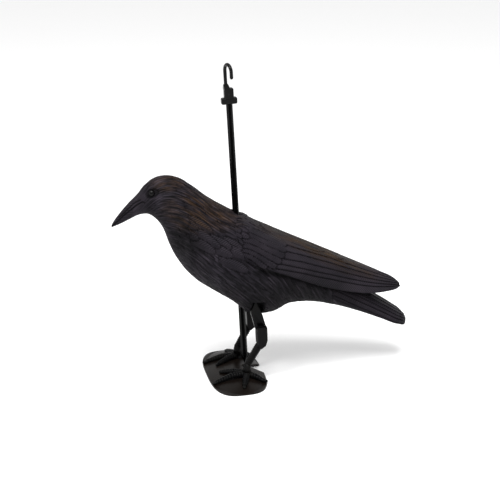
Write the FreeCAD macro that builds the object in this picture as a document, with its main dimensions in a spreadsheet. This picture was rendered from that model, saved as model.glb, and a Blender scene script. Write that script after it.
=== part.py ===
import FreeCAD, Part

# Hanging bird decoy on a foot plate, with a sliding stake and a swivelling hook.
# Frame: millimetres, +Z up, the bird looks along -X and its left side is -Y.
# The origin is the middle of the bounding box's bottom face, on the ground.

import math
import os

from FreeCAD import Placement, Rotation, Vector

doc = FreeCAD.newDocument("hanging_decoy")

# ---------------------------------------------------------------------------
# Driving dimensions
# ---------------------------------------------------------------------------
DIMENSIONS = {
    # body
    "wall": 2.2,             # thickness of the moulded shells
    "seam_gap": 0.04,        # between the two shells at the middle plane
    "guide_radius": 8.0,     # outside of the tube that guides the stake
    # stake
    "stake_foot_x": -28.3,   # where the stake's axis meets its point
    "stake_foot_z": 14.0,
    "stake_lean": 3.1,       # degrees, towards the head
    "stake_length": 370.0,
    "stake_seat": 7.0,       # how far its top goes into the head
    "stake_top_width": 8.4,
    "stake_low_width": 9.4,
    "stake_fin": 2.2,        # thickness of a rib
    "stake_point": 24.0,     # length of the pointed end
    "stake_gap": 0.3,        # clearance of the keyed hole
    # head and hook
    "bar_length": 20.6,
    "bar_height": 8.6,
    "bar_depth": 8.6,
    "bar_round": 2.2,
    "block_length": 12.4,    # block above the bar
    "block_depth": 8.2,
    "block_height": 12.0,
    "boss_height": 5.0,      # cone round the hook's stem
    "wire_radius": 2.2,
    "wire_gap": 0.08,        # running clearance of the stem in the block
    "hook_radius": 8.6,      # centre line of the hook's bend
    "hook_stem": 17.0,       # straight stem above the boss
    "hook_offset": 3.0,      # stem from the stake's axis, towards the beak
    "hook_drop": 6.4,        # straight tip below the bend
    "hook_turn": -75.0,      # degrees, the hook's plane from the cross bar's
    "groove_radius": 1.3,    # groove in the stem that the pin runs in
    "pin_radius": 1.0,
    # foot plate
    "plate_centre_x": -43.5,
    "plate_half_x": 38.8,
    "plate_half_y": 69.5,
    "plate_square": 3.1,     # exponent of the plate's outline, 2 is an ellipse
    "plate_crown": 9.5,
    "plate_lip": 2.0,
    "plate_wall": 2.2,
    "notch_neck": 5.6,       # half width of the notch at the stake
    "notch_mouth": 14.5,     # half width of the notch at the edge
    # legs
    "leg_spread": 31.0,      # leg's middle plane from the bird's middle plane
    "block_width": 15.0,
    "tongue_width": 9.0,
    "socket_gap": 0.25,
    "ankle_x": -32.4,
    "ankle_z": 22.5,
    "tarsus_top_radius": 4.7,
    "ankle_radius": 4.1,
    "toe_root_radius": 3.9,
    "toe_tip_radius": 2.2,
    # eyes
    "eye_x": -151.8,
    "eye_y": 14.4,
    "eye_z": 271.0,
    "eye_radius": 4.2,
    "eye_stem": 1.6,
    "eye_stem_length": 5.2,
    "eye_seat": 6.6,
    # screws that hold the feet
    "screw_radius": 1.5,
    "screw_head": 3.6,
    "screw_length": 12.0,
    "screw_head_height": 1.8,
    "screw_slot": 0.8,
    "screw_seat": 0.6,
    "screw_inset": 1.0,
}

sheet = doc.addObject("Spreadsheet::Sheet", "dims")
for row, (alias, value) in enumerate(DIMENSIONS.items(), start=1):
    sheet.set(f"A{row}", alias)
    sheet.set(f"B{row}", str(value))
    sheet.setAlias(f"B{row}", alias)
doc.recompute()


def size(alias):
    """A driving dimension, read from the sheet."""
    return float(getattr(sheet, alias))


WALL = size("wall")
SIDES = {"left": -1, "right": 1}

# ---------------------------------------------------------------------------
# Small helpers
# ---------------------------------------------------------------------------


def piece(name, shape):
    """A finished sub-part: an object whose label names its file."""
    shape = shape.removeSplitter() if shape.ShapeType != "Solid" else shape
    obj = doc.addObject("Part::Feature", name)
    obj.Label = name
    obj.Shape = shape
    return obj


def primitive(kind, name, expressions, placement=None):
    """A Part primitive whose properties are bound to cells of the sheet."""
    obj = doc.addObject(kind, name)
    for prop, expression in expressions.items():
        obj.setExpression(prop, expression)
    if placement:
        obj.Placement = placement
    return obj


def box_between(low, high):
    return Part.makeBox(high.x - low.x, high.y - low.y, high.z - low.z, low)


def cone_between(start, end, r_start, r_end):
    """A cone or a cylinder whose axis runs from start to end."""
    run = end - start
    if abs(r_start - r_end) < 1e-6:
        return Part.makeCylinder(r_start, run.Length, start, run)
    return Part.makeCone(r_start, r_end, run.Length, start, run)


def mirrored(shape, side):
    """The shape as made for the right side (+Y), or its mirror image."""
    return shape if side > 0 else shape.mirror(Vector(0, 0, 0), Vector(0, 1, 0))


# ---------------------------------------------------------------------------
# Body: two lofts through upright sections, joined and hollowed
# ---------------------------------------------------------------------------
# Each row: x, height of the ridge, height of the keel, half width,
# share of the height at which the section is widest, squareness (2 is an ellipse)
TRUNK = [
    (-203.0, 227.6, 224.6, 1.4, 0.50, 2.0),
    (-198.5, 234.4, 226.2, 3.4, 0.50, 2.0),
    (-192.0, 242.4, 228.6, 5.4, 0.50, 2.0),
    (-180.0, 255.4, 234.0, 8.2, 0.50, 2.0),
    (-168.0, 266.6, 239.2, 10.8, 0.50, 2.0),
    (-158.0, 277.4, 240.2, 14.6, 0.52, 2.1),
    (-147.0, 285.0, 234.0, 19.6, 0.56, 2.1),
    (-137.0, 287.8, 219.8, 22.8, 0.60, 2.1),
    (-127.0, 287.8, 191.6, 25.6, 0.60, 2.1),
    (-114.0, 283.8, 167.6, 32.0, 0.50, 2.1),
    (-98.0, 272.8, 148.2, 40.0, 0.46, 2.1),
    (-78.0, 256.4, 133.0, 47.0, 0.44, 2.1),
    (-50.0, 238.2, 113.8, 53.0, 0.46, 2.1),
    (-20.0, 220.6, 91.6, 55.0, 0.50, 2.1),
    (5.0, 206.0, 92.4, 53.6, 0.52, 2.1),
    (30.0, 190.0, 102.6, 48.0, 0.52, 2.1),
    (60.0, 166.0, 101.6, 39.0, 0.50, 2.2),
    (95.0, 139.0, 93.0, 31.0, 0.42, 2.4),
    (130.0, 116.0, 81.0, 28.0, 0.30, 2.6),
    (160.0, 95.6, 68.4, 27.0, 0.26, 2.7),
    (186.0, 77.6, 57.0, 25.0, 0.26, 2.7),
    (198.0, 68.4, 53.4, 17.6, 0.34, 2.4),
    (203.0, 62.4, 56.4, 7.0, 0.45, 2.2),
]
WINGS = [
    (-58.0, 232.0, 190.0, 38.0, 0.30, 2.2),
    (-40.0, 231.8, 178.0, 52.4, 0.18, 2.3),
    (-10.0, 215.6, 166.0, 56.4, 0.14, 2.4),
    (25.0, 197.6, 152.0, 55.6, 0.12, 2.4),
    (65.0, 178.2, 134.0, 49.0, 0.12, 2.4),
    (105.0, 158.8, 119.6, 41.0, 0.14, 2.4),
    (140.0, 141.6, 110.0, 32.0, 0.18, 2.4),
    (165.0, 129.2, 106.4, 22.6, 0.24, 2.3),
    (184.0, 119.4, 105.4, 13.0, 0.34, 2.1),
    (192.6, 112.4, 106.4, 4.6, 0.45, 2.0),
]
SECTION_POINTS = 20


def section(row, inset=0.0):
    """A closed smooth wire in the upright plane at x, drawn in by inset."""
    x, ridge, keel, half, share, square = row
    ridge, keel, half = ridge - inset, keel + inset, half - inset
    middle = keel + share * (ridge - keel)
    points = []
    for i in range(SECTION_POINTS):
        turn = 2 * math.pi * i / SECTION_POINTS
        c, s = math.cos(turn), math.sin(turn)
        reach = half * math.copysign(abs(s) ** (2 / square), s)
        height = (ridge - middle) if c > 0 else (middle - keel)
        points.append(Vector(x, reach, middle + height * math.copysign(abs(c) ** (2 / square), c)))
    curve = Part.BSplineCurve()
    curve.interpolate(Points=points, PeriodicFlag=True)
    return Part.Wire(curve.toShape())


def loft(rows, inset=0.0, ruled=False):
    return Part.makeLoft([section(row, inset) for row in rows], True, ruled)


trunk_outside = loft(TRUNK)
wings_outside = loft(WINGS)
body_outside = trunk_outside.fuse(wings_outside)
body_hollow = loft(TRUNK[6:21], WALL, ruled=True).fuse(loft(WINGS[1:8], WALL, ruled=True))
if not (body_outside.isValid() and body_hollow.isValid()):
    raise SystemExit("the body's lofts are not valid")
if body_hollow.cut(body_outside).Volume > 1:
    raise SystemExit("the hollow breaks through the skin")

# stake axis and its keyed hole ------------------------------------------------
lean = Rotation(Vector(0, 1, 0), -size("stake_lean"))
stake_foot = Vector(size("stake_foot_x"), 0, size("stake_foot_z"))
stake_axis = lean.multVec(Vector(0, 0, 1))
stake_place = Placement(stake_foot, lean)


def cross_prism(low_width, top_width, fin, length):
    """Two crossed ribs that taper from low_width to top_width, set at 45 degrees."""
    ribs = []
    for turn in (45, 135):
        low, top = low_width / 2, top_width / 2
        outline = Part.makePolygon([
            Vector(-low, -fin / 2, 0), Vector(low, -fin / 2, 0),
            Vector(top, -fin / 2, length), Vector(-top, -fin / 2, length),
            Vector(-low, -fin / 2, 0)])
        rib = Part.Face(outline).extrude(Vector(0, fin, 0))
        rib.rotate(Vector(0, 0, 0), Vector(0, 0, 1), turn)
        ribs.append(rib)
    return ribs[0].fuse(ribs[1]).removeSplitter()


hole_width = size("stake_low_width") + 2 * size("stake_gap")
stake_hole = cross_prism(hole_width, hole_width, size("stake_fin") + 2 * size("stake_gap"), 420)
stake_hole.translate(Vector(0, 0, -20))
stake_hole.Placement = stake_place.multiply(stake_hole.Placement)
guide_tube = Part.makeCylinder(size("guide_radius"), 420, stake_foot, stake_axis).common(body_outside)

# leg tongue and block, drawn in the XZ plane -----------------------------------
TONGUE = [(-22.2, 119.0), (-28.2, 103.0), (-21.4, 78.0), (-6.6, 78.0), (-12.4, 99.0)]
BLOCK = [(-20.2, 81.0), (-18.8, 56.0), (-14.6, 49.6), (-8.2, 54.0), (-5.8, 62.0), (-6.6, 81.0)]
WEB = [(-24.6, 101.0), (-19.0, 82.2), (-8.6, 82.2)]
WEB_DEPTH = 6.0


def upright_prism(points, y_low, y_high):
    """An outline in the XZ plane, extruded from y_low to y_high."""
    corners = [Vector(x, y_low, z) for x, z in points]
    face = Part.Face(Part.makePolygon(corners + corners[:1]))
    return face.extrude(Vector(0, y_high - y_low, 0))


leg_y = size("leg_spread")
half_tongue = size("tongue_width") / 2
gap = size("socket_gap")
tongue = upright_prism(TONGUE, leg_y - half_tongue, leg_y + half_tongue)
socket_cut = upright_prism(TONGUE, leg_y - half_tongue - gap, leg_y + half_tongue + gap)
grow = 1 + 2 * gap / 20
centre = tongue.CenterOfMass
socket_cut.translate(-centre)
socket_cut.scale(grow)
socket_cut.translate(centre)
socket_block = box_between(
    Vector(-32, leg_y - half_tongue - 3, 82), Vector(-2, leg_y + half_tongue + 3, 122))


def body_shell(side):
    """One moulded half: skin, half of the guide tube, the leg's socket and the eye's seat."""
    walls = body_outside.cut(body_hollow)
    solid = walls.fuse([guide_tube, mirrored(socket_block, side).common(body_outside)])
    half_gap = size("seam_gap") / 2
    low_y, high_y = (-80, -half_gap) if side < 0 else (half_gap, 80)
    solid = solid.common(box_between(Vector(-230, low_y, 20), Vector(230, high_y, 320)))
    eye_place = Vector(size("eye_x"), side * size("eye_y"), size("eye_z"))
    outward = eye_direction(side)
    seat = Part.makeCylinder(size("eye_seat"), 8, eye_place - outward * 0.6, outward)
    stem_hole = Part.makeCylinder(size("eye_stem") + 0.05, 8, eye_place - outward * 7, outward)
    return solid.cut([stake_hole, mirrored(socket_cut, side), seat, stem_hole])


def eye_direction(side):
    """Outward and a little up and forward, square to the cheek."""
    out = Vector(-0.28, side * 0.86, 0.42)
    return out.normalize()


# ---------------------------------------------------------------------------
# Foot plate: a shallow domed dish with a lip and a notch behind the stake
# ---------------------------------------------------------------------------
DOME_SPREAD = 1.35       # the dome's ellipse against the plate's outline


def plate_outline(inset, z):
    """Superellipse outline of the plate, drawn in by inset."""
    half_x, half_y = size("plate_half_x") - inset, size("plate_half_y") - inset
    power = 2 / size("plate_square")
    points = []
    count = 32
    for i in range(count):
        turn = 2 * math.pi * i / count
        c, s = math.cos(turn), math.sin(turn)
        points.append(Vector(
            size("plate_centre_x") + half_x * math.copysign(abs(c) ** power, c),
            half_y * math.copysign(abs(s) ** power, s), z))
    curve = Part.BSplineCurve()
    curve.interpolate(Points=points, PeriodicFlag=True)
    return Part.Face(Part.Wire(curve.toShape()))


def dome_rise():
    """Half height of the ellipsoid whose cap meets the lip at the plate's edge."""
    edge_share = math.sqrt(1 - 1 / DOME_SPREAD ** 2)
    return (size("plate_crown") - size("plate_lip")) / (1 - edge_share)


def dome(drop):
    """The solid under the dome, lowered by drop; its top is part of an ellipsoid."""
    rise = dome_rise()
    base = size("plate_crown") - rise - drop
    ball = Part.makeSphere(1.0)
    stretch = FreeCAD.Matrix()
    stretch.scale(size("plate_half_x") * DOME_SPREAD, size("plate_half_y") * DOME_SPREAD, rise)
    ball = ball.transformGeometry(stretch)
    ball.translate(Vector(size("plate_centre_x"), 0, base))
    return ball.common(Part.makeBox(300, 300, 60, Vector(-200, -150, 0)))


def dome_height(x, y):
    """Height of the plate's upper face at a point."""
    rise = dome_rise()
    u = (x - size("plate_centre_x")) / (size("plate_half_x") * DOME_SPREAD)
    v = y / (size("plate_half_y") * DOME_SPREAD)
    height = size("plate_crown") - rise + rise * math.sqrt(max(0.0, 1 - u * u - v * v))
    return max(size("plate_lip"), height)


plate_top_solid = dome(0).common(plate_outline(0, 0).extrude(Vector(0, 0, 40)))
lip_plate = plate_outline(0, 0).extrude(Vector(0, 0, size("plate_lip")))
plate_top_solid = plate_top_solid.fuse(lip_plate)
LIP_WIDTH = 4.0
plate_under = dome(size("plate_wall")).common(plate_outline(LIP_WIDTH, 0).extrude(Vector(0, 0, 40)))
neck, mouth = size("notch_neck"), size("notch_mouth")
edge_x = size("plate_centre_x") + size("plate_half_x")
notch_start = size("stake_foot_x") + 1.0
notch_plan = Part.Face(Part.makePolygon([
    Vector(notch_start, -neck, -1), Vector(edge_x - 14, -neck * 0.86, -1),
    Vector(edge_x - 5, -mouth * 0.72, -1), Vector(edge_x + 5, -mouth, -1),
    Vector(edge_x + 5, mouth, -1), Vector(edge_x - 5, mouth * 0.72, -1),
    Vector(edge_x - 14, neck * 0.86, -1), Vector(notch_start, neck, -1),
    Vector(notch_start, -neck, -1)]))
notch = notch_plan.extrude(Vector(0, 0, 30)).fuse(
    Part.makeCylinder(neck, 30, Vector(notch_start, 0, -1)))
plate_shell = plate_top_solid.cut([plate_under, notch])
# each screw head seats on a small flat boss under the dome
screw_bosses = []
screw_holes = []
for side in SIDES.values():
    screw_y = side * (leg_y - size("screw_inset"))
    seat = dome_height(size("ankle_x"), screw_y) - size("plate_wall") - size("screw_seat")
    screw_bosses.append(Part.makeCylinder(
        size("screw_head") + 1, size("screw_seat") + 1, Vector(size("ankle_x"), screw_y, seat)))
    screw_holes.append(Part.makeCylinder(
        size("screw_radius") + 0.15, 20, Vector(size("ankle_x"), screw_y, -1)))
piece("base_plate", plate_shell.fuse(screw_bosses).cut(screw_holes))


# ---------------------------------------------------------------------------
# Legs: tongue and block, tarsus, ankle and four toes that lie on the dome
# ---------------------------------------------------------------------------
# turn from straight ahead in degrees (+ is outwards), length
TOES = {
    "middle": (4.0, 47.0),
    "inner": (-30.0, 38.0),
    "outer": (70.0, 30.0),
    "hind": (152.0, 27.0),
}


def toe(turn, length, root):
    """One toe: a tapered rod with a ball at each end, laid along the plate."""
    angle = math.radians(turn)
    ahead = Vector(-math.cos(angle), math.sin(angle), 0)
    tip = root + ahead * length
    tip.z = dome_height(tip.x, tip.y) + size("toe_tip_radius") * 0.8
    start = Vector(root.x, root.y, dome_height(root.x, root.y) + size("toe_root_radius") * 0.9)
    rod = cone_between(start, tip, size("toe_root_radius"), size("toe_tip_radius"))
    return [rod, Part.makeSphere(size("toe_tip_radius"), tip)]


def leg(side):
    root = Vector(size("ankle_x"), leg_y - 1, 0)
    ankle = Vector(root.x, root.y, size("ankle_z"))
    knee = Vector(-14.4, leg_y, 56.0)
    half_block = size("block_width") / 2
    block = upright_prism(BLOCK, leg_y - half_block + 1, leg_y + half_block)
    frame = block.fuse(tongue)
    web = upright_prism(WEB, leg_y + half_tongue - WEB_DEPTH, leg_y + half_tongue + 10)
    frame = frame.cut(web)
    sole = Vector(root.x, root.y, dome_height(root.x, root.y) - 1)
    parts = [
        cone_between(ankle, knee, size("ankle_radius"), size("tarsus_top_radius")),
        Part.makeSphere(size("ankle_radius") + 0.6, ankle),
        cone_between(sole, ankle, size("ankle_radius") + 2.0, size("ankle_radius")),
    ]
    for turn, length in TOES.values():
        parts += toe(turn, length, root)
    whole = frame.fuse(parts)
    pilot = Part.makeCylinder(size("screw_radius") + 0.1, size("screw_length"), Vector(root.x, root.y, 5))
    whole = mirrored(whole.cut([plate_top_solid, pilot]), side)
    solids = sorted(whole.Solids, key=lambda s: s.Volume)
    return solids[-1]


for side_name, side in SIDES.items():
    piece(f"{side_name}_leg", leg(side))
    piece(f"{side_name}_body_shell", body_shell(side))


# ---------------------------------------------------------------------------
# Screws, eyes, stake, head, retaining pin and hook
# ---------------------------------------------------------------------------


def foot_screw(side):
    x, y = size("ankle_x"), side * (leg_y - size("screw_inset"))
    seat = dome_height(x, y) - size("plate_wall") - size("screw_seat")
    thick, slot_long, slot_wide = size("screw_head_height"), size("screw_head"), size("screw_slot")
    head = Part.makeCylinder(size("screw_head"), thick, Vector(x, y, seat - thick))
    shank = Part.makeCylinder(size("screw_radius"), size("screw_length"), Vector(x, y, seat - thick / 2))
    low = seat - thick - 0.1
    recess = Part.makeBox(slot_long, slot_wide, 1.0, Vector(x - slot_long / 2, y - slot_wide / 2, low))
    cross = Part.makeBox(slot_wide, slot_long, 1.0, Vector(x - slot_wide / 2, y - slot_long / 2, low))
    return head.fuse(shank).cut([recess, cross])


piece("foot_screws", Part.makeCompound([foot_screw(side) for side in SIDES.values()]))

for side_name, side in SIDES.items():
    outward = eye_direction(side)
    centre_point = Vector(size("eye_x"), side * size("eye_y"), size("eye_z")) - outward * 0.6
    turn = Placement(centre_point, Rotation(Vector(0, 0, 1), outward))
    ball = primitive("Part::Sphere", f"{side_name}_eye_ball",
                     {"Radius": "dims.eye_radius"}, turn)
    ball.Angle1 = 0
    stem = primitive("Part::Cylinder", f"{side_name}_eye_stem",
                     {"Radius": "dims.eye_stem", "Height": "dims.eye_stem_length"},
                     Placement(centre_point - outward * 5, turn.Rotation))
    eye = doc.addObject("Part::Fuse", f"{side_name}_eye")
    eye.Base, eye.Tool = ball, stem
    eye.Label = f"{side_name}_eye"

ribs = cross_prism(size("stake_low_width"), size("stake_top_width"), size("stake_fin"), size("stake_length"))
point = size("stake_point")
sharpen = Part.makeCone(0.7, size("stake_low_width"), point).fuse(
    Part.makeCylinder(size("stake_low_width"), size("stake_length"), Vector(0, 0, point)))
stake_shape = ribs.common(sharpen)
stake_shape.Placement = stake_place
piece("stake", stake_shape)


def on_axis(height):
    """A point on the stake's axis, height above its point."""
    return stake_foot + stake_axis * height


def head_box(length, depth, low, high, rounding):
    """A block on the stake's axis between two heights, with rounded edges, in the stake's frame."""
    block = Part.makeBox(length, depth, high - low, Vector(-length / 2, -depth / 2, low))
    return block.makeFillet(rounding, block.Edges)


bar_low = size("stake_length") - size("stake_seat")
bar_top = bar_low + size("bar_height")
block_top = bar_top + size("block_height")
boss_top = block_top + size("boss_height")
rounding = size("bar_round")
stem_x = -size("hook_offset")
wire = size("wire_radius")
bore = wire + size("wire_gap")
bar = head_box(size("bar_length"), size("bar_depth"), bar_low, bar_top, rounding)
block = head_box(size("block_length"), size("block_depth"), bar_top - 2 * rounding, block_top, rounding)
boss = Part.makeCone(size("block_length") / 2, bore + 0.7, size("boss_height") + rounding,
                     Vector(stem_x, 0, block_top - rounding))
boss = boss.common(Part.makeBox(size("block_length"), size("block_depth"), 40,
                                Vector(-size("block_length") / 2, -size("block_depth") / 2, bar_top)))
stem_low = bar_low + size("stake_seat") + 0.6
pin_height = bar_top + 4.0
pin_x = stem_x + size("groove_radius") + size("pin_radius") + 0.05
pin_hole = Part.makeCylinder(size("pin_radius"), 20, Vector(pin_x, -10, pin_height), Vector(0, 1, 0))
stem_bore = Part.makeCylinder(bore, 60, Vector(stem_x, 0, stem_low - 0.3))
gap_width = size("stake_top_width") + 0.3
stake_socket = cross_prism(gap_width, gap_width, size("stake_fin") + 0.2, size("stake_seat") + 0.1)
stake_socket.translate(Vector(0, 0, bar_low))
head = bar.fuse([block, boss]).cut([stem_bore, pin_hole, stake_socket])
head.Placement = stake_place
piece("cross_head", head)

pin_length = size("block_depth") - 0.4
pin = Part.makeCylinder(size("pin_radius"), pin_length, Vector(pin_x, -pin_length / 2, pin_height),
                        Vector(0, 1, 0))
pin.Placement = stake_place
piece("retaining_pin", pin)

bend = size("hook_radius")
bend_height = boss_top + size("hook_stem")
stem = Part.makeCylinder(wire, bend_height - stem_low, Vector(0, 0, stem_low))
groove = Part.makeCylinder(wire + 1, 2 * size("pin_radius") + 0.2, Vector(0, 0, pin_height - size("pin_radius") - 0.1))
groove = groove.cut(Part.makeCylinder(size("groove_radius"), 10, Vector(0, 0, pin_height - 5)))
ring = Part.makeTorus(bend, wire, Vector(bend, 0, bend_height), Vector(0, 1, 0))
arch = ring.common(Part.makeBox(60, 60, 30, Vector(-30, -30, bend_height)))
tip_height = bend_height - size("hook_drop")
arm = Part.makeCylinder(wire, size("hook_drop"), Vector(2 * bend, 0, tip_height))
tip = Part.makeSphere(wire, Vector(2 * bend, 0, tip_height))
hook = stem.cut(groove).fuse([arch, arm, tip])
hook.Placement = stake_place.multiply(
    Placement(Vector(stem_x, 0, 0), Rotation(Vector(0, 0, 1), size("hook_turn"))))
piece("hanging_hook", hook)

# ---------------------------------------------------------------------------
# Check and export
# ---------------------------------------------------------------------------
NODES = [
    "base_plate", "foot_screws", "left_leg", "right_leg", "left_body_shell", "right_body_shell",
    "left_eye", "right_eye", "stake", "cross_head", "retaining_pin", "hanging_hook",
]
doc.recompute()
for obj in doc.Objects:
    if {"Invalid", "Error"} & set(obj.State):
        raise SystemExit(f"{obj.Label} failed: {obj.State}")

os.makedirs("parts", exist_ok=True)
for name in NODES:
    shape = doc.getObjectsByLabel(name)[0].Shape
    if shape.isNull() or not shape.isValid():
        raise SystemExit(f"{name} has no valid shape")
    box = shape.BoundBox
    print(f"{name:18s} solids {len(shape.Solids)} volume {shape.Volume / 1000:8.2f} cm3  "
          f"X {box.XMin:7.1f} {box.XMax:7.1f}  Y {box.YMin:7.1f} {box.YMax:7.1f}  "
          f"Z {box.ZMin:7.1f} {box.ZMax:7.1f}")
    shape.exportStep(f"parts/{name}.step")
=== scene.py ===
import math

import bmesh
import bpy
import numpy as np
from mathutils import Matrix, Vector


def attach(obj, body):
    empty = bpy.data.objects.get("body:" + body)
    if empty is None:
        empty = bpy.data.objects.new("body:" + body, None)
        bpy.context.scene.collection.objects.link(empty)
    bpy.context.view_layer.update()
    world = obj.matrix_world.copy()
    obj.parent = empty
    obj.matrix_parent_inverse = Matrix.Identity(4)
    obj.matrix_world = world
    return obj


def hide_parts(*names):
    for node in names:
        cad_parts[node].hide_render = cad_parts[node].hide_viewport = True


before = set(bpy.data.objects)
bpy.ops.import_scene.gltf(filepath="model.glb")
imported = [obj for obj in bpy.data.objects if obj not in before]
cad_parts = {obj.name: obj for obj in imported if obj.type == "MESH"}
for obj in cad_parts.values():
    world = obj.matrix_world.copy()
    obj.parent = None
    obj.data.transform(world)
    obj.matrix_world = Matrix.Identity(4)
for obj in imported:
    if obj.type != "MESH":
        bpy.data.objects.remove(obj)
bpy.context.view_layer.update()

MM = 0.001
rng = np.random.default_rng(7)


def linear(hex_colour):
    """An sRGB colour such as "1c1b20" as linear RGBA."""
    parts = [int(hex_colour[i:i + 2], 16) / 255 for i in (0, 2, 4)]
    flat = [p / 12.92 if p <= 0.04045 else ((p + 0.055) / 1.055) ** 2.4 for p in parts]
    return (*flat, 1.0)


def add(tree, kind, inputs=None, **settings):
    """Adds one node, sets it up and links the inputs that are given as sockets."""
    made = tree.nodes.new(kind)
    for name, value in settings.items():
        setattr(made, name, value)
    for name, value in (inputs or {}).items():
        socket = made.inputs[name]
        if isinstance(value, bpy.types.NodeSocket):
            tree.links.new(value, socket)
        else:
            socket.default_value = value
    return made


def shader(material):
    """The material's Principled shader."""
    return next(n for n in material.node_tree.nodes if n.type == "BSDF_PRINCIPLED")


def smooth_step(value):
    """0 below 0, 1 above 1, with a soft start and end."""
    held = np.clip(value, 0, 1)
    return held * held * (3 - 2 * held)


# %% [markdown]
# The camera looks at the bird's left side from 20 degrees above and a little ahead of square.
# The whole decoy and the hook are in view.
# A long lens from 1.4 m away keeps the stake and the edges of the plate nearly parallel.

# %% Camera
AZIMUTH, ELEVATION, DISTANCE = math.radians(-13.5), math.radians(20), 1.4
target = Vector((-0.021, 0, 0.1784))
back = Vector((math.sin(AZIMUTH) * math.cos(ELEVATION),
               -math.cos(AZIMUTH) * math.cos(ELEVATION), math.sin(ELEVATION)))
camera_data = bpy.data.cameras.new("camera")
camera_data.lens = 75.8
camera_data.sensor_width = 36
camera = bpy.data.objects.new("camera", camera_data)
camera.location = target + back * DISTANCE
camera.rotation_euler = (-back).to_track_quat("-Z", "Y").to_euler()
bpy.context.scene.collection.objects.link(camera)
bpy.context.scene.camera = camera
print("camera at", [round(v, 3) for v in camera.location])

# %% [markdown]
# The decoy stands on a plain white sheet in a bright room with soft light from all round.
# One large soft lamp is high on the left side, which brightens the wing and the sheet.
# A small lamp ahead on the left skims the side and shows the relief of the feathers.

# %% Floor and light
floor_mesh = bpy.data.meshes.new("floor")
floor_builder = bmesh.new()
bmesh.ops.create_grid(floor_builder, x_segments=1, y_segments=1, size=6)
floor_builder.to_mesh(floor_mesh)
floor_builder.free()
floor = bpy.data.objects.new("floor", floor_mesh)
bpy.context.scene.collection.objects.link(floor)
floor_finish = bpy.data.materials.new("white_sheet")
floor_finish.use_nodes = True
shader(floor_finish).inputs["Base Color"].default_value = linear("fcfcfc")
shader(floor_finish).inputs["Roughness"].default_value = 0.9
floor_mesh.materials.append(floor_finish)

world = bpy.data.worlds.new("room")
world.use_nodes = True
world.node_tree.nodes["Background"].inputs["Color"].default_value = (1, 1, 1, 1)
world.node_tree.nodes["Background"].inputs["Strength"].default_value = 0.9
bpy.context.scene.world = world
bpy.context.scene.view_settings.view_transform = "Standard"


def lamp(name, place, size, watts):
    """A square soft lamp that looks at the middle of the object."""
    data = bpy.data.lights.new(name, "AREA")
    data.size = size
    data.energy = watts
    thing = bpy.data.objects.new(name, data)
    thing.location = place
    thing.rotation_euler = (Vector(place) - Vector((0, 0, 0.2))).to_track_quat("Z", "Y").to_euler()
    bpy.context.scene.collection.objects.link(thing)
    return thing


lamp("top_lamp", (-0.3, -0.8, 2.3), 1.2, 52)
lamp("left_lamp", (-1.1, -0.6, 1.6), 0.25, 6)
print("floor and lamps are placed")

# %% [markdown]
# The bird's skin follows the same cross-sections as the moulded shells.
# Each row is a station along the bird: x, ridge height, keel height, half width,
# the share of the height where it is widest, and how square the section is, in mm.
# The trunk runs from the beak to the tail, and the wings lie over it like a saddle.

# %% Cross-sections
TRUNK = np.array([
    (-203, 227.6, 224.6, 1.4, .50, 2.0), (-198.5, 234.4, 226.2, 3.4, .50, 2.0),
    (-192, 242.4, 228.6, 5.4, .50, 2.0), (-180, 255.4, 234, 8.2, .50, 2.0),
    (-168, 266.6, 239.2, 10.8, .50, 2.0), (-158, 277.4, 240.2, 14.6, .52, 2.1),
    (-147, 285, 234, 19.6, .56, 2.1), (-137, 287.8, 219.8, 22.8, .60, 2.1),
    (-127, 287.8, 191.6, 25.6, .60, 2.1), (-114, 283.8, 167.6, 32, .50, 2.1),
    (-98, 272.8, 148.2, 40, .46, 2.1), (-78, 256.4, 133, 47, .44, 2.1),
    (-50, 238.2, 113.8, 53, .46, 2.1), (-20, 220.6, 91.6, 55, .50, 2.1),
    (5, 206, 92.4, 53.6, .52, 2.1), (30, 190, 102.6, 48, .52, 2.1),
    (60, 166, 101.6, 39, .50, 2.2), (95, 139, 93, 31, .42, 2.4),
    (130, 116, 81, 28, .30, 2.6), (160, 95.6, 68.4, 27, .26, 2.7),
    (186, 77.6, 57, 25, .26, 2.7), (198, 68.4, 53.4, 17.6, .34, 2.4),
    (203, 62.4, 56.4, 7, .45, 2.2)])
WINGS = np.array([
    (-58, 232, 190, 38, .30, 2.2), (-40, 231.8, 178, 52.4, .18, 2.3),
    (-10, 215.6, 166, 56.4, .14, 2.4), (25, 197.6, 152, 55.6, .12, 2.4),
    (65, 178.2, 134, 49, .12, 2.4), (105, 158.8, 119.6, 41, .14, 2.4),
    (140, 141.6, 110, 32, .18, 2.4), (165, 129.2, 106.4, 22.6, .24, 2.3),
    (184, 119.4, 105.4, 13, .34, 2.1), (192.6, 112.4, 106.4, 4.6, .45, 2.0)])


def at_station(table, x):
    """Smoothly reads a table between its rows; slopes at the rows are weighted averages."""
    xs = table[:, 0]
    steps = np.diff(xs)
    i = np.clip(np.searchsorted(xs, x) - 1, 0, len(xs) - 2)
    t = (x - xs[i]) / steps[i]
    values = []
    for column in table.T[1:]:
        rise = np.diff(column) / steps
        slope = np.empty(len(xs))
        slope[1:-1] = (rise[:-1] * steps[1:] + rise[1:] * steps[:-1]) / (steps[1:] + steps[:-1])
        slope[1:-1][rise[:-1] * rise[1:] < 0] *= 0.3
        slope[0], slope[-1] = rise[0], rise[-1]
        a, b = column[i], column[i + 1]
        ma, mb = slope[i] * steps[i], slope[i + 1] * steps[i]
        values.append(a * (1 + 2 * t) * (1 - t) ** 2 + ma * t * (1 - t) ** 2
                      + b * t * t * (3 - 2 * t) + mb * t * t * (t - 1))
    return values


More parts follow.
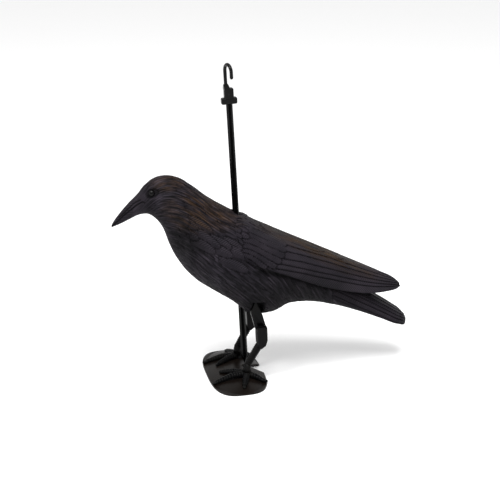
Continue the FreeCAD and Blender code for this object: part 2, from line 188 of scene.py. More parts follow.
def on_skin(table, x, angle):
    """Points (x, outward y, z) at an angle from the ridge (0) round to the keel (pi)."""
    ridge, keel, half, share, square = at_station(table, x)
    middle = keel + share * (ridge - keel)
    up, out = np.cos(angle), np.clip(np.sin(angle), 0, 1)
    height = np.where(up > 0, ridge - middle, middle - keel)
    y = half * out ** (2 / square)
    z = middle + height * np.sign(up) * np.abs(up) ** (2 / square)
    return np.stack([np.broadcast_to(x, y.shape), y, z], axis=-1)


def along_section(table, x, degrees):
    """Distance in mm down the section from the ridge to an angle."""
    sweep = np.radians(np.linspace(0, degrees, 80))
    points = on_skin(table, np.full(80, float(x)), sweep)
    return float(np.linalg.norm(np.diff(points, axis=0), axis=1).sum())


print("trunk", len(TRUNK), "stations, wings", len(WINGS), "stations")

# %% [markdown]
# A half skin starts as a flat grid that is wrapped round the cross-sections.
# Its rows are closer together on the head, where the relief is finest.
# The distance down each section is kept, so feathers can be laid out in millimetres.

# %% Wrapped grid


def wrapped(table, stations, angles):
    """Grid arrays for a half skin: points, outward normals and distance from the ridge."""
    x, angle = np.meshgrid(stations, np.radians(angles), indexing="ij")
    points = on_skin(table, x, angle)
    walk = np.linalg.norm(np.diff(points, axis=1), axis=2)
    down = np.concatenate([np.zeros((len(stations), 1)), np.cumsum(walk, axis=1)], axis=1)
    lengthways = np.gradient(points, axis=0)
    across = np.gradient(points, axis=1)
    normals = np.cross(across, lengthways)
    normals /= np.maximum(np.linalg.norm(normals, axis=2, keepdims=True), 1e-9)
    flip = np.sign(normals[..., 1].sum())
    # The rim entry is painted shade: 1 keeps the full colour and lower values are darker.
    return {"x": x, "down": down, "angle": angle, "points": points, "normals": normals * flip,
            "lift": np.zeros(x.shape), "along": x.copy(), "across": down.copy(),
            "rim": np.full(x.shape, 0.7), "tone": np.full(x.shape, 0.5)}


def spread(*runs):
    """Joins runs (start, end, step) into one rising list of values."""
    values = [np.arange(a, b, step) for a, b, step in runs]
    return np.append(np.concatenate(values), runs[-1][1])


trunk = wrapped(TRUNK, spread((-203, -118, 0.75), (-118, -30, 1.0), (-30, 90, 1.5), (90, 203, 1.1)),
                np.linspace(0, 180, 150))
wing = wrapped(WINGS, spread((-58, 192.6, 1.0)), spread((0, 98, 1.15), (98, 180, 8)))
print("trunk grid", trunk["x"].shape, "wing grid", wing["x"].shape)

# %% [markdown]
# On the real decoy the feathers are cut into the mould as overlapping leaves.
# A leaf is laid over the ones before it, rises towards its tip and has a rounded end.
# Its rim drops sharply, which casts a thin line of shade between two feathers, and that line is
# painted dark as well.
# The shade sets how dark the painted line is, and barbs is 0 where the feather is plain hair.

# %% Feather tool


def leaf(skin, base, tip, half_width, lift, rim=0.9, round_from=0.6, narrow=0.6, shaft=0.12,
         cut=0.45, shade=1.0, barbs=1.0):
    """Lays one feather from base to tip, both (x, distance from the ridge) in mm."""
    base, tip = np.array(base, float), np.array(tip, float)
    length = np.linalg.norm(tip - base)
    ahead = (tip - base) / length
    reach = half_width + 1
    first, last = np.searchsorted(skin["x"][:, 0], [min(base[0], tip[0]) - reach,
                                                    max(base[0], tip[0]) + reach])
    if first >= last:
        return
    window = slice(first, last)
    dx, dq = skin["x"][window] - base[0], skin["down"][window] - base[1]
    along, across = dx * ahead[0] + dq * ahead[1], dq * ahead[0] - dx * ahead[1]
    t = along / length
    end = np.clip((t - round_from) / (1 - round_from), 0, 1)
    outline = half_width * np.sqrt(1 - end ** 2)
    outline = outline * (narrow + (1 - narrow) * smooth_step(t / 0.4))
    inside = (t > 0) & (t < 1) & (np.abs(across) < outline)
    gap = np.minimum(outline - np.abs(across), (1 - t) * length)
    share = np.abs(across) / np.maximum(outline, 0.1)
    height = lift * (0.25 + 0.75 * np.clip(t, 0, 1)) * (1 - 0.35 * share ** 2)
    height = (height + cut) * smooth_step(gap / rim) - cut
    height = height + shaft * np.exp(-(across / 0.6) ** 2) * (t < 0.9)
    tone = np.full(height.shape, rng.uniform(0, 1))
    # Painted shade: the colour darkens towards the feather's edge, as deep as shade says.
    light = 1 - shade * (1 - smooth_step(gap / (1.3 * rim)))
    for name, value in (("lift", height), ("along", along * barbs), ("across", across * barbs),
                        ("rim", light), ("tone", tone)):
        skin[name][window] = np.where(inside, value, skin[name][window])


def wing_leaf(base_x, base_angle, tip_x, tip_angle, half_width, lift, **more):
    """A feather on the wing, placed by x and by the angle round the section."""
    leaf(wing, (base_x, along_section(WINGS, base_x, base_angle)),
         (tip_x, along_section(WINGS, tip_x, tip_angle)), half_width, lift, **more)


def groove(skin, line, depth, half_width):
    """Sinks a line of (x, z) points into the side of a skin and paints shade along it."""
    x, z = skin["points"][..., 0], skin["points"][..., 2]
    nearest = np.full(x.shape, 1e6)
    for (xa, za), (xb, zb) in zip(line[:-1], line[1:]):
        run = np.array([xb - xa, zb - za])
        t = np.clip(((x - xa) * run[0] + (z - za) * run[1]) / run.dot(run), 0, 1)
        nearest = np.minimum(nearest, np.hypot(x - xa - t * run[0], z - za - t * run[1]))
    sunk = np.exp(-(nearest / half_width) ** 2)
    skin["lift"] -= depth * sunk
    # Painted shade along the groove.
    skin["rim"] *= 1 - 0.9 * sunk


print("feather tools are ready")

# %% [markdown]
# The long flight feathers run from the middle of the wing to its tip.
# They lie side by side, and each one's lower rim stands proud of the next one down, with painted
# shade in the gap.
# The rims are close together at the lower edge of the wing and wider near the back.

# %% Flight feathers
RIMS = np.array([
    (-60, 22, 42, 58, 75, 86, 95), (0, 20, 38, 54, 70, 79.5, 88),
    (38, 13, 33, 46, 60.4, 72.9, 81.3), (80, 8, 27, 41, 55.9, 67.7, 77),
    (192.6, 6, 20, 36, 50, 63, 75)], float)
degrees = np.degrees(wing["angle"])
edges = [np.zeros_like(degrees)]
edges += [np.interp(wing["x"], RIMS[:, 0], RIMS[:, k]) for k in range(1, 7)]
edges += [np.full_like(degrees, 104)]
section_length = wing["down"] / np.maximum(degrees, 1)
for upper, lower in zip(edges[:-1], edges[1:]):
    inside = (degrees >= upper) & (degrees < lower)
    share = (degrees - upper) / np.maximum(lower - upper, 1)
    width = (lower - upper) * section_length
    rim = smooth_step((1 - share) * width / 0.9) * smooth_step(share * width / 0.8)
    wing["lift"] = np.where(inside, (1.1 + 1.0 * share) * rim - 0.85, wing["lift"])
    wing["across"] = np.where(inside, (share - 0.62) * width, wing["across"])
    # Painted shade in the gaps between the flight feathers.
    wing["rim"] = np.where(inside, rim, wing["rim"])
    wing["tone"] = np.where(inside, rng.uniform(0, 1), wing["tone"])
print("flight feather rims", len(edges) - 1)

# %% [markdown]
# Three broad feathers lie along the ridge of the back and end in small steps.
# The coverts over the front of the wing are long leaves whose ends meet in one arc.
# They are laid from the lowest to the highest, as they overlap on a folded wing.
# Three rows of short feathers hide where the coverts begin.

# %% Coverts and ridge feathers
COVERT = {"rim": 0.9, "cut": 1.1, "round_from": 0.9, "narrow": 0.85}
wing_leaf(40, 8, 161, 10, 11, 1.3, narrow=0.9)
wing_leaf(10, 9, 106, 9, 13, 1.3, narrow=0.9)
wing_leaf(-20, 10, 79, 9, 14, 1.3, narrow=0.9)
wing_leaf(-58, 122, -12, 97, 6.4, 1.1, **COVERT)
wing_leaf(-58, 110, 1, 85, 7.0, 1.4, **COVERT)
wing_leaf(-58, 97, 8, 73, 7.4, 1.6, **COVERT)
wing_leaf(-58, 83, 13, 60, 7.6, 1.7, **COVERT)
wing_leaf(-58, 69, 17, 47, 7.8, 1.7, **COVERT)
wing_leaf(-54, 53, 19, 35, 7.0, 1.5, **COVERT)
for tip_x, start, last in ((-34, 44, 62), (-42, 50, 84), (-49, 40, 92)):
    for angle in range(start, last, 11):
        wing_leaf(tip_x - 16, angle + 3, tip_x + rng.uniform(-2, 2), angle + rng.uniform(-1, 1),
                  5.0, 0.9, narrow=0.8, rim=1.1, cut=0.5)
print("coverts are laid")

# %% [markdown]
# Fine hair-like strokes cover the breast, the belly, the nape and the head in staggered rows.
# They flow back from the beak and turn downwards on the breast.
# A few large flat feathers cover the shoulder, between the nape and the wing.

# %% Body feathers


def cover(skin, table, start_x, end_x, length, half_width, lift, top, bottom, jitter=0.25,
          slope=0.0, **more):
    """Staggered rows of feathers, laid from the tail end to the beak end of a skin."""
    row = 0
    x = end_x
    while x > start_x:
        reach = along_section(table, x, 178)
        place = reach * top + (row % 2) * half_width
        while place < reach * bottom:
            shift = rng.uniform(-jitter, jitter, 2) * (length * 0.4, half_width)
            tip = (x + shift[0], place + shift[1])
            turn = slope + rng.uniform(-0.14, 0.14)
            base = (tip[0] - length * math.cos(turn), tip[1] - length * math.sin(turn))
            leaf(skin, base, tip, half_width, lift * rng.uniform(0.6, 1.2), **more)
            place += half_width * 1.85
        x -= length * 0.52
        row += 1


HAIR = {"jitter": 0.9, "shaft": 0.0, "barbs": 0.0, "shade": 0.3}
cover(trunk, TRUNK, -118, 92, 16, 2.4, 0.5, 0.34, 0.97, slope=0.4, cut=0.2, rim=0.9, **HAIR)
cover(trunk, TRUNK, -150, -38, 17, 2.0, 0.35, 0.0, 0.36, cut=0.15, rim=0.9, **HAIR)
cover(wing, WINGS, -58, -4, 18, 2.0, 0.2, 0.0, 0.24, cut=0.05, rim=0.9,
      **(HAIR | {"shade": 0.1}))
cover(trunk, TRUNK, -98, -34, 38, 7.4, 0.7, 0.33, 0.5, jitter=0.4, slope=0.05, rim=0.7,
      cut=0.35, round_from=0.62, narrow=0.9, shade=0.85)
cover(trunk, TRUNK, -134, -104, 14, 2.2, 0.4, 0.2, 0.98, slope=0.15, cut=0.15, rim=0.9, **HAIR)
print("body feathers are laid")
cover(trunk, TRUNK, -165, -120, 12, 1.6, 0.3, 0.0, 0.98, cut=0.1, rim=0.8, **HAIR)
print("head strokes are laid")

# %% [markdown]
# The tail is a closed fan: long straight feathers, each a little lower than the one above.
# The outer ones are shorter, so the end of the tail is stepped, and the gaps between them get painted
# shade.
# A soft groove under the edge of the wing deepens the shadow between wing and body, and paints shade
# there too.

# %% Tail feathers
TAIL_RIMS = (22, 44, 62, 78, 92, 104)
tail_angle = np.degrees(trunk["angle"])
blend = smooth_step((trunk["x"] - 78) / 16)
reach = trunk["down"] / np.maximum(tail_angle, 1)
low = 0
for number, high in enumerate(TAIL_RIMS):
    inside = (tail_angle >= low) & (tail_angle < high) & (trunk["x"] > 84)
    share = (tail_angle - low) / (high - low)
    width = (high - low) * reach
    rim = smooth_step((1 - share) * width / 1.2) * smooth_step(share * width / 1.1)
    height = (1.0 + 1.1 * share) * rim - 0.8
    height = height * smooth_step((201.5 - 2.6 * number - trunk["x"]) / 1.2)
    trunk["lift"] = np.where(inside, height * blend + trunk["lift"] * (1 - blend), trunk["lift"])
    trunk["across"] = np.where(inside, (share - 0.5) * width, trunk["across"])
    # Painted shade in the gaps between the tail feathers.
    trunk["rim"] = np.where(inside, rim, trunk["rim"])
    low = high
UNDER_WING = [(-20, 169), (22, 156), (69, 134.5), (106, 121), (142, 109)]
groove(trunk, UNDER_WING, 2.0, 4.2)
print("tail feathers", len(TAIL_RIMS))

# %% [markdown]
# The beak is smooth. A thin gap runs between its halves, with a fainter line above it, and both lines
# get painted shade.
# The eye sits in an almond-shaped hollow with a low raised lid round it, and the hollow gets painted
# shade.

# %% Beak and eye hollow
x, z = trunk["points"][..., 0], trunk["points"][..., 2]
BEAK_ROOT_X, BEAK_ROOT_Z, BEAK_SLANT = -160.5, 262, 0.28
on_beak = smooth_step((BEAK_ROOT_X - x - BEAK_SLANT * (z - BEAK_ROOT_Z)) / 3)
trunk["lift"] *= 1 - on_beak
EYE_X, EYE_Z, HOLLOW_HALF, HOLLOW_TILT = -151.4, 270.6, (9.0, 6.2), 0.3
hollow = np.hypot((x - EYE_X) / HOLLOW_HALF[0],
                  (z - EYE_Z - HOLLOW_TILT * (x - EYE_X)) / HOLLOW_HALF[1])
trunk["lift"] = trunk["lift"] * smooth_step((hollow - 0.85) * 3)
trunk["lift"] += 0.7 * np.exp(-((hollow - 1.12) / 0.16) ** 2)
trunk["lift"] -= 1.2 * smooth_step((0.98 - hollow) * 5)
trunk["rim"] = np.where(on_beak > 0.5, 0.85, trunk["rim"])
GAPE = [(-201.6, 227.4), (-185.4, 243), (-170.4, 255.0), (-163.5, 259.4), (-160.8, 258.0)]
UPPER_LINE = [(-193, 238.6), (-182.9, 248.6), (-174.2, 256.6), (-166, 261.6)]
groove(trunk, GAPE, 1.3, 0.9)
groove(trunk, UPPER_LINE, 0.9, 0.8)
# Painted shade in the eye hollow.
trunk["rim"] *= 1 - 0.7 * smooth_step((1.0 - hollow) * 6)
print("beak and eye hollow are cut")

# %% [markdown]
# Each leg plugs into a slot that is open at the side of the belly.
# The slot is pressed into the skin here, just behind the stake, and gets painted shade.

# %% Leg slot
y = trunk["points"][..., 1]
SLOT_FRONT, SLOT_BACK, SLOT_TOP, SLOT_INNER, SLOT_DEPTH = -28, -10.5, 121.5, 24.5, 8.5
in_slot = smooth_step((x - SLOT_FRONT) / 1.2) * smooth_step((SLOT_BACK - x) / 1.2)
in_slot *= smooth_step((SLOT_TOP - z) / 1.2) * smooth_step((y - SLOT_INNER) / 1.5)
trunk["lift"] = trunk["lift"] * (1 - in_slot) - SLOT_DEPTH * in_slot
# Painted shade in the slot.
trunk["rim"] *= 1 - 0.9 * in_slot
print("deepest point of the slot", round(float(trunk["lift"].min()), 1), "mm")

# %% [markdown]
# The wrapped grid now becomes a mesh: one grid operator makes the faces.
# The vertices are moved outwards by the height of the feathers.
# Along the seam between the two halves every vertex stays beside the middle plane.
# Three maps go with the skin. The first is the place on a feather, along and beside its shaft.
# The second is the painted shade in the gaps between feathers, with a number of its own for each
# feather.
# The third is the way the hair flows. Lengths in the maps are in tenths of a metre.

# %% Mesh of a half skin
SEAM = 0.02
MAP_SCALE = 0.01


def half_skin(skin):
    """A bmesh of one half, on the far side, with its three maps."""
    rows, columns = skin["x"].shape
    points = skin["points"] + skin["normals"] * skin["lift"][..., None]
    points[..., 1] = np.maximum(points[..., 1], SEAM)
    points[:, [0, -1], 1] = SEAM
    for end in (0, -1):
        points[end] = points[end].mean(axis=0) * 0.85 + points[end] * 0.15
        points[end, [0, -1], 1] = SEAM
    builder = bmesh.new()
    bmesh.ops.create_grid(builder, x_segments=rows - 1, y_segments=columns - 1, size=1)
    builder.verts.ensure_lookup_table()
    feather = builder.loops.layers.uv.new("feather")
    # This map holds the painted shade in the gaps between feathers and a number for each feather.
    wear = builder.loops.layers.uv.new("wear")
    flow = builder.loops.layers.uv.new("flow")
    place, gap_shade_and_tones, flowing = {}, {}, {}
    for vertex in builder.verts:
        i = round((vertex.co.x + 1) / 2 * (rows - 1))
        j = round((vertex.co.y + 1) / 2 * (columns - 1))
        place[vertex.index] = (skin["along"][i, j] * MAP_SCALE, skin["across"][i, j] * MAP_SCALE)
        gap_shade_and_tones[vertex.index] = (skin["rim"][i, j], skin["tone"][i, j])
        flowing[vertex.index] = (skin["x"][i, j] * MAP_SCALE, skin["flow"][i, j] * MAP_SCALE)
        vertex.co = points[i, j]
    for face in builder.faces:
        for loop in face.loops:
            loop[feather].uv = place[loop.vert.index]
            loop[wear].uv = gap_shade_and_tones[loop.vert.index]
            loop[flow].uv = flowing[loop.vert.index]
    return builder


print("half skin tool is ready")

# %% [markdown]
# The stake passes right through the bird, so each half has a half round hole for it.
# The rims of the hole at the back and at the belly are joined by a half tube.
# Then the open loops along the seam are closed with flat faces.

# %% Stake hole and seam
STAKE_FOOT, LEAN = np.array([-28.3, 0, 14.0]), math.radians(3.1)
BORE, RIM_REACH = 6.0, 3.2
stake_axis = np.array([-math.sin(LEAN), 0, math.cos(LEAN)])


def from_axis(point):
    """The shortest step from the stake's axis to a point."""
    offset = np.array(point) - STAKE_FOOT
    return offset - stake_axis * offset.dot(stake_axis)


def bore(builder):
    """Opens the half round hole for the stake and joins its two ends with a half tube."""
    inside = [v for v in builder.verts if np.linalg.norm(from_axis(v.co)) < BORE]
    if not inside:
        return
    bmesh.ops.delete(builder, geom=inside, context="VERTS")
    rim = [e for e in builder.edges if e.is_boundary and max(v.co.y for v in e.verts) > 0.3
           and all(np.linalg.norm(from_axis(v.co)) < BORE + RIM_REACH for v in e.verts)]
    for vertex in {v for e in rim for v in e.verts}:
        offset = from_axis(vertex.co)
        vertex.co = Vector(np.array(vertex.co) - offset * (1 - BORE / np.linalg.norm(offset)))
        vertex.co.y = max(vertex.co.y, SEAM)
    bmesh.ops.bridge_loops(builder, edges=rim)


def close_seam(builder):
    """Closes the open loops with flat faces on the middle plane."""
    open_edges = [e for e in builder.edges if e.is_boundary]
    bmesh.ops.holes_fill(builder, edges=open_edges, sides=0)


print("hole radius", BORE, "mm")

# %% [markdown]
# All pieces are drawn in millimetres on the far side and turned to their own side here.
# A mirrored copy has its faces turned outwards again.

# %% One object for each side


def finished(name, builders, side):
    """Joins the parts into one object on the given side of the bird, in metres."""
    mesh = bpy.data.meshes.new(name)
    whole = bmesh.new()
    for builder in builders:
        part = bpy.data.meshes.new("part")
        builder.to_mesh(part)
        whole.from_mesh(part)
        bpy.data.meshes.remove(part)
    bmesh.ops.scale(whole, vec=(MM, MM * side, MM), verts=whole.verts)
    bmesh.ops.recalc_face_normals(whole, faces=whole.faces)
    whole.to_mesh(mesh)
    whole.free()
    mesh.shade_smooth()
    thing = bpy.data.objects.new(name, mesh)
    bpy.context.scene.collection.objects.link(thing)
    return thing


print("object tool is ready")

# %% [markdown]
# The bird is moulded in a left and a right half that meet on the middle plane.
# Each half is the trunk with its wing over it, and a half round hole for the stake.
# The hair turns downwards with the share of the way from the ridge to the keel.

# %% Left and right skins
share = trunk["down"] / trunk["down"][:, -1:]
trunk["flow"] = trunk["down"] - 0.5 * share * np.clip(trunk["x"] + 122, 0, 150)
wing["flow"] = wing["down"]
halves = []
for table_skin in (trunk, wing):
    half = half_skin(table_skin)
    bore(half)
    close_seam(half)
    print("open edges left", sum(e.is_boundary for e in half.edges), "faces", len(half.faces))
    halves.append(half)
skins = {}
for side_name, side in (("left", -1), ("right", 1)):
    skin = finished(f"{side_name}_feathered_shell", halves, side)
    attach(skin, "decoy")
    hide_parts(f"{side_name}_body_shell")
    skins[side_name] = skin
    print(skin.name, "triangles", sum(len(p.vertices) - 2 for p in skin.data.polygons))

# %% [markdown]
# On the real feet the shins and toes carry rings of scales, and each toe ends in a claw.
# Every scale is a short cone that overlaps the next one, widest towards the toe's tip.
# They lie over the plain CAD legs, which keep the joint to the body and to the plate.

# %% Scale tools
PLATE_X, PLATE_HALF, CROWN, LIP, DOME = -43.5, (38.8, 69.5), 9.5, 2.0, 1.35


def plate_height(x, y):
    """Height of the foot plate's upper face, in mm."""
    rise = (CROWN - LIP) / (1 - math.sqrt(1 - 1 / DOME ** 2))
    u, v = (x - PLATE_X) / (PLATE_HALF[0] * DOME), y / (PLATE_HALF[1] * DOME)
    return max(LIP, CROWN - rise + rise * math.sqrt(max(0.0, 1 - u * u - v * v)))


def cone(builder, start, end, radius_start, radius_end, flat=1.0):
    """A closed cone between two points, flattened across by flat."""
    start, end = Vector(start), Vector(end)
    run = end - start
    matrix = run.to_track_quat("Z", "Y").to_matrix().to_4x4()
    matrix.translation = (start + end) / 2
    made = bmesh.ops.create_cone(builder, cap_ends=True, segments=20, radius1=radius_start,
                                 radius2=radius_end, depth=run.length)
    bmesh.ops.scale(builder, vec=(1, flat, 1), verts=made["verts"])
    bmesh.ops.transform(builder, matrix=matrix, verts=made["verts"])


def scales(builder, start, end, radius_start, radius_end, count, flat=1.0):
    """A run of overlapping ring scales from start to end."""
    start, end = Vector(start), Vector(end)
    for k in range(count):
        near, far = k / count, (k + 1.12) / count
        radius = radius_start + (radius_end - radius_start) * near
        cone(builder, start.lerp(end, near), start.lerp(end, far), radius * 0.95, radius * 1.05, flat)


print("scale tools are ready")

# %% [markdown]
# The shank slopes forward and down from the block of the leg to the ankle.
# Four toes lie on the dome, three pointing ahead or outwards and one behind.
# A toe is given by its turn outwards from straight ahead, in degrees, and its length in mm.
# Each toe is bent once, at its middle, to follow the plate, and a cone thickens the ankle.

# %% Feet
TOES = ((4.0, 47.0), (-30.0, 38.0), (70.0, 30.0), (152.0, 27.0))
SHANK_TOP, SHANK_END, ankle = (-15.6, 31, 53.5), (-32.2, 30, 24.5), Vector((-32.4, 30, 0))
foot = bmesh.new()
scales(foot, SHANK_TOP, SHANK_END, 5.1, 4.5, 11)
for turn, length in TOES:
    angle = math.radians(turn)
    ahead = Vector((-math.cos(angle), math.sin(angle), 0))
    root, tip = ankle + ahead * 1.5, ankle + ahead * (length - 4)
    root.z, tip.z = plate_height(root.x, root.y) + 4.6, plate_height(tip.x, tip.y) + 2.4
    middle = root.lerp(tip, 0.5)
    middle.z = plate_height(middle.x, middle.y) + 4.0
    rings = max(3, round(length / 8))
    scales(foot, root, middle, 4.5, 4.2, rings, 0.9)
    scales(foot, middle, tip, 4.2, 3.0, rings, 0.9)
    claw = tip + ahead * 5
    claw.z = plate_height(claw.x, claw.y) + 0.7
    cone(foot, tip - ahead, claw, 2.6, 0.6, 0.9)
cone(foot, (-31.6, 30, 27), (-32.6, 30, 12.5), 4.6, 6.2)
feet = {}
for side_name, side in (("left", -1), ("right", 1)):
    scaled = finished(f"{side_name}_foot_scales", [foot], side)
    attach(scaled, "decoy")
    feet[side_name] = scaled
    print(scaled.name, "triangles", sum(len(p.vertices) - 2 for p in scaled.data.polygons))

# %% [markdown]
# The body is black moulded plastic with a soft sheen, not paint.
# Each finish drifts between two close tones in soft patches, and so does its roughness.
# A very fine grain breaks up the shine, as on any part from a mould.

# %% Patchy finish
PLASTIC_IOR = 1.49


def patchy(name, colour, second, patches, roughness, unevenness=0.1):
    """A moulded finish with patches of the given size in metres."""
    material = bpy.data.materials.new(name)
    material.use_nodes = True
    tree, main = material.node_tree, shader(material)
    where = add(tree, "ShaderNodeTexCoord").outputs["Object"]
    cloud = add(tree, "ShaderNodeTexNoise",
                {"Vector": where, "Scale": 1 / patches, "Detail": 4.0}).outputs["Fac"]
    level = add(tree, "ShaderNodeMapRange", {"Value": cloud, "From Min": 0.42, "From Max": 0.68})
    blend = add(tree, "ShaderNodeMix",
                {0: level.outputs[0], 6: linear(colour), 7: linear(second)}, data_type="RGBA")
    tree.links.new(blend.outputs[2], main.inputs["Base Color"])
    shine = add(tree, "ShaderNodeMapRange",
                {"Value": cloud, "From Min": 0.3, "From Max": 0.7,
                 "To Min": roughness - unevenness, "To Max": roughness + unevenness})
    tree.links.new(shine.outputs[0], main.inputs["Roughness"])
    grain = add(tree, "ShaderNodeTexNoise", {"Vector": where, "Scale": 1400.0, "Detail": 3.0})
    bump = add(tree, "ShaderNodeBump",
               {"Height": grain.outputs["Fac"], "Strength": 0.25, "Distance": 0.0001})
    tree.links.new(bump.outputs["Normal"], main.inputs["Normal"])
    main.inputs["IOR"].default_value = PLASTIC_IOR
    main.inputs["Specular IOR Level"].default_value = 0.12
    return material


print("patchy finish is ready")

# %% [markdown]
# The shells are matte black with a violet cast, and the plate is a brown black.
# The stake, the hook and above all the eyes are glossier.
# The small pin is blackened steel and the screws are zinc plated.

# %% Eight finishes
shell_finish = patchy("shell_moulded_polyethylene", "252228", "353037", 0.035, 0.55)
leg_finish = patchy("leg_moulded_plastic", "060607", "0e0d0c", 0.02, 0.38)
plate_finish = patchy("plate_moulded_plastic", "0f0b09", "19130f", 0.05, 0.34)
stake_finish = patchy("stake_glossy_plastic", "060606", "0c0c0d", 0.03, 0.2, 0.05)
hook_finish = patchy("hook_glossy_plastic", "060606", "0d0d0e", 0.02, 0.24, 0.05)
eye_finish = patchy("eye_polished_plastic", "030303", "060505", 0.004, 0.08, 0.02)
pin_finish = patchy("pin_blackened_steel", "202022", "2c2c2e", 0.004, 0.3, 0.05)
screw_finish = patchy("screw_zinc_steel", "8c8e90", "a4a6a8", 0.003, 0.32, 0.08)
for metal in (pin_finish, screw_finish):
    shader(metal).inputs["Metallic"].default_value = 1.0
shader(leg_finish).inputs["Specular IOR Level"].default_value = 0.07
shader(shell_finish).inputs["Specular IOR Level"].default_value = 0.05
print("eight finishes")

# %% [markdown]
# On the wing and the tail each feather has fine barbs that slant back from its shaft.
# They are a wave along the feather map, so each feather carries its own set.
# A soft noise bends them a little, so they do not look ruled.

# %% Feather barbs
BARB_WAVE = 215.0
tree, main = shell_finish.node_tree, shader(shell_finish)
where = add(tree, "ShaderNodeTexCoord").outputs["Object"]
feather_map = add(tree, "ShaderNodeUVMap", uv_map="feather").outputs["UV"]
parts = add(tree, "ShaderNodeSeparateXYZ", {"Vector": feather_map})
beside = add(tree, "ShaderNodeMath", {0: parts.outputs["Y"]}, operation="ABSOLUTE")
slanted = add(tree, "ShaderNodeMath",
              {0: parts.outputs["X"], 1: beside.outputs[0]}, operation="SUBTRACT")
wobble = add(tree, "ShaderNodeTexNoise", {"Vector": where, "Scale": 160.0})
phase = add(tree, "ShaderNodeMath",
            {0: slanted.outputs[0], 1: BARB_WAVE}, operation="MULTIPLY")
shifted = add(tree, "ShaderNodeMath",
              {0: wobble.outputs["Fac"], 1: 3.0, 2: phase.outputs[0]}, operation="MULTIPLY_ADD")
barbs = add(tree, "ShaderNodeMath", {0: shifted.outputs[0]}, operation="SINE").outputs[0]
barb_tone = add(tree, "ShaderNodeMapRange",
                {"Value": barbs, "From Min": -1.0, "To Min": 0.42, "To Max": 1.0}).outputs[0]
print("barbs follow the feather map")

# %% [markdown]
# Tints and painted shade are the same on both sides of the bird.
# A mask is a soft ellipsoid round one place, in metres in the frame of the object.
# The sideways distance is folded, so one place serves the left and the right half.

# %% Masks on the bird


def near_place(centre, radii):
    """A mask that is 1 at a place on either side of the bird and 0 outside the radii."""
    axes = add(tree, "ShaderNodeSeparateXYZ", {"Vector": where})
    sideways = add(tree, "ShaderNodeMath", {0: axes.outputs["Y"]}, operation="ABSOLUTE")
    folded = add(tree, "ShaderNodeCombineXYZ",
                 {"X": axes.outputs["X"], "Y": sideways.outputs[0], "Z": axes.outputs["Z"]})
    moved = add(tree, "ShaderNodeVectorMath",
                {0: folded.outputs[0], 1: centre}, operation="SUBTRACT")
    scaled = add(tree, "ShaderNodeVectorMath", {0: moved.outputs[0], 1: radii}, operation="DIVIDE")
    distance = add(tree, "ShaderNodeVectorMath", {0: scaled.outputs[0]}, operation="LENGTH")
    return add(tree, "ShaderNodeMapRange",
               {"Value": distance.outputs["Value"], "From Min": 1.0, "From Max": 0.35}).outputs[0]


def largest(values):
    """The largest of several masks."""
    total = values[0]
    for value in values[1:]:
        total = add(tree, "ShaderNodeMath", {0: total, 1: value}, operation="MAXIMUM").outputs[0]
    return total


beak = near_place((-0.186, 0.0, 0.243), (0.046, 0.034, 0.038))
brown_places = largest([near_place((-0.078, 0.024, 0.248), (0.070, 0.036, 0.036)),
                        near_place((-0.130, 0.010, 0.284), (0.030, 0.020, 0.018)),
                        near_place((0.070, 0.014, 0.176), (0.150, 0.028, 0.075))])
# Painted shade on the throat, the belly and the ridge of the back.
painted_shade_places = largest([near_place((-0.116, 0.034, 0.214), (0.036, 0.030, 0.044)),
                       near_place((0.010, 0.035, 0.115), (0.120, 0.060, 0.064)),
                       near_place((0.045, 0.0, 0.190), (0.130, 0.030, 0.060))])
print("masks for the beak, three brown places and three dull ones")

# %% [markdown]
# Fine hair lines are a noise that is stretched along the way the feathers flow.
# They show on the head, the nape and the breast, and hardly on barbed feathers or the beak.
# The feather map is zero where a feather is plain hair, which tells the two kinds apart.

# %% Hair lines
flow_map = add(tree, "ShaderNodeUVMap", uv_map="flow").outputs["UV"]
hairs = add(tree, "ShaderNodeMapping", {"Vector": flow_map, "Scale": (6, 52, 1)})
hair = add(tree, "ShaderNodeTexNoise",
           {"Vector": hairs.outputs[0], "Scale": 1.0, "Detail": 3.0}).outputs["Fac"]
hair_tone = add(tree, "ShaderNodeMapRange",
                {"Value": hair, "From Min": 0.38, "From Max": 0.62, "To Min": 0.12, "To Max": 0.95})
on_feather = add(tree, "ShaderNodeVectorMath", {0: feather_map}, operation="LENGTH")
barbed = add(tree, "ShaderNodeMapRange", {"Value": on_feather.outputs["Value"], "From Max": 0.02})
vaned = add(tree, "ShaderNodeMath", {0: barbed.outputs[0], 1: 0.85}, operation="MULTIPLY")
smooth = largest([vaned.outputs[0], beak])
hairy = add(tree, "ShaderNodeMath", {0: 1.0, 1: smooth}, operation="SUBTRACT").outputs[0]
combed = largest([hair_tone.outputs[0], smooth])
# Painted highlights: the brightest hair lines are lightened as if they caught the light.
glints = add(tree, "ShaderNodeMapRange",
             {"Value": hair, "From Min": 0.6, "From Max": 0.72, "To Max": 0.22})
painted_hair_glints = add(tree, "ShaderNodeMath", {0: glints.outputs[0], 1: hairy}, operation="MULTIPLY")
print("hair lines follow the flow map")
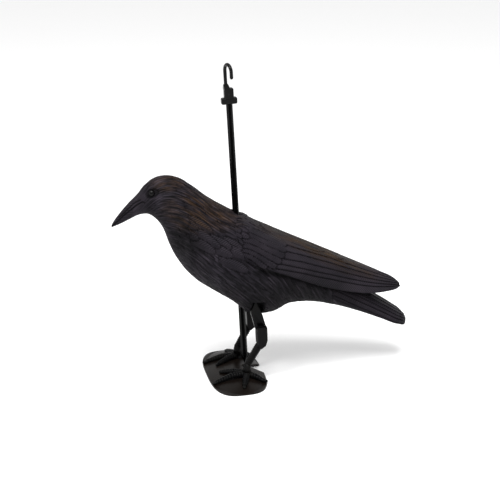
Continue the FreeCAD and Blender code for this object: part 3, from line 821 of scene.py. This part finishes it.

# %% [markdown]
# Brown tints lie over the crown, the nape and the back, broken up into streaks.
# Painted shade darkens the throat, the belly and the ridge of the back.
# The gaps between feathers get painted shade, and a few hairs get painted highlights.

# %% Tints, painted shade and painted highlights
stretched = add(tree, "ShaderNodeMapping", {"Vector": flow_map, "Scale": (4, 26, 1)})
streaks = add(tree, "ShaderNodeTexNoise",
              {"Vector": stretched.outputs[0], "Scale": 1.0, "Detail": 4.0})
streak_level = add(tree, "ShaderNodeMapRange",
                   {"Value": streaks.outputs["Fac"], "From Min": 0.38, "From Max": 0.66})
brown = add(tree, "ShaderNodeMath", {0: brown_places, 1: streak_level.outputs[0]},
            operation="MULTIPLY")
# Painted shade: two thirds of the mask darkens the colour.
painted_shade = add(tree, "ShaderNodeMath", {0: painted_shade_places, 1: 0.66}, operation="MULTIPLY")
# The painted shade in the gaps between feathers darkens the colour towards near black.
gap_shade_and_tone_map = add(tree, "ShaderNodeUVMap", uv_map="wear").outputs["UV"]
wear = add(tree, "ShaderNodeSeparateXYZ", {"Vector": gap_shade_and_tone_map})
colour = main.inputs["Base Color"].links[0].from_socket
for amount, tint, full_at_one in (
        (painted_shade.outputs[0], "080807", True), (brown.outputs[0], "43301c", True),
        (wear.outputs["X"], "040404", False), (combed, "050506", False),
        (painted_hair_glints.outputs[0], "565058", True), (barb_tone, "050506", False)):
    ends = (colour, linear(tint)) if full_at_one else (linear(tint), colour)
    colour = add(tree, "ShaderNodeMix",
                 {0: amount, 6: ends[0], 7: ends[1]}, data_type="RGBA").outputs[2]
tree.links.new(colour, main.inputs["Base Color"])
print("tints and wear are on")

# %% [markdown]
# The same barbs and hair lines are a shallow relief as well, over the fine grain.
# The hair is at full depth where the feathers are plain hair, and faint elsewhere.

# %% Relief of barbs and hair
grain_relief = main.inputs["Normal"].links[0].from_socket
barb_relief = add(tree, "ShaderNodeBump",
                  {"Height": barbs, "Strength": 1.0, "Distance": 0.0003, "Normal": grain_relief})
share_of_hair = add(tree, "ShaderNodeMath", {0: hairy, 1: 0.15}, operation="MAXIMUM")
height = add(tree, "ShaderNodeMath", {0: hair, 1: share_of_hair.outputs[0]}, operation="MULTIPLY")
hair_relief = add(tree, "ShaderNodeBump",
                  {"Height": height.outputs[0], "Strength": 1.0, "Distance": 0.0022,
                   "Normal": barb_relief.outputs["Normal"]})
tree.links.new(hair_relief.outputs["Normal"], main.inputs["Normal"])
print("relief is on")

# %% [markdown]
# The legs, the plate, the stake and the hook keep the CAD shapes and take these finishes.
# The two shells of the CAD model are hidden, because the feathered skins stand for them.

# %% Finishes on the CAD pieces
for node_name, material in (
        ("base_plate", plate_finish), ("foot_screws", screw_finish),
        ("left_leg", leg_finish), ("right_leg", leg_finish),
        ("left_eye", eye_finish), ("right_eye", eye_finish),
        ("stake", stake_finish), ("cross_head", stake_finish),
        ("retaining_pin", pin_finish), ("hanging_hook", hook_finish)):
    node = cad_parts[node_name]
    node.data.materials.clear()
    node.data.materials.append(material)
for skin in skins.values():
    skin.data.materials.append(shell_finish)
for scaled in feet.values():
    scaled.data.materials.append(leg_finish)
print("finishes are on")
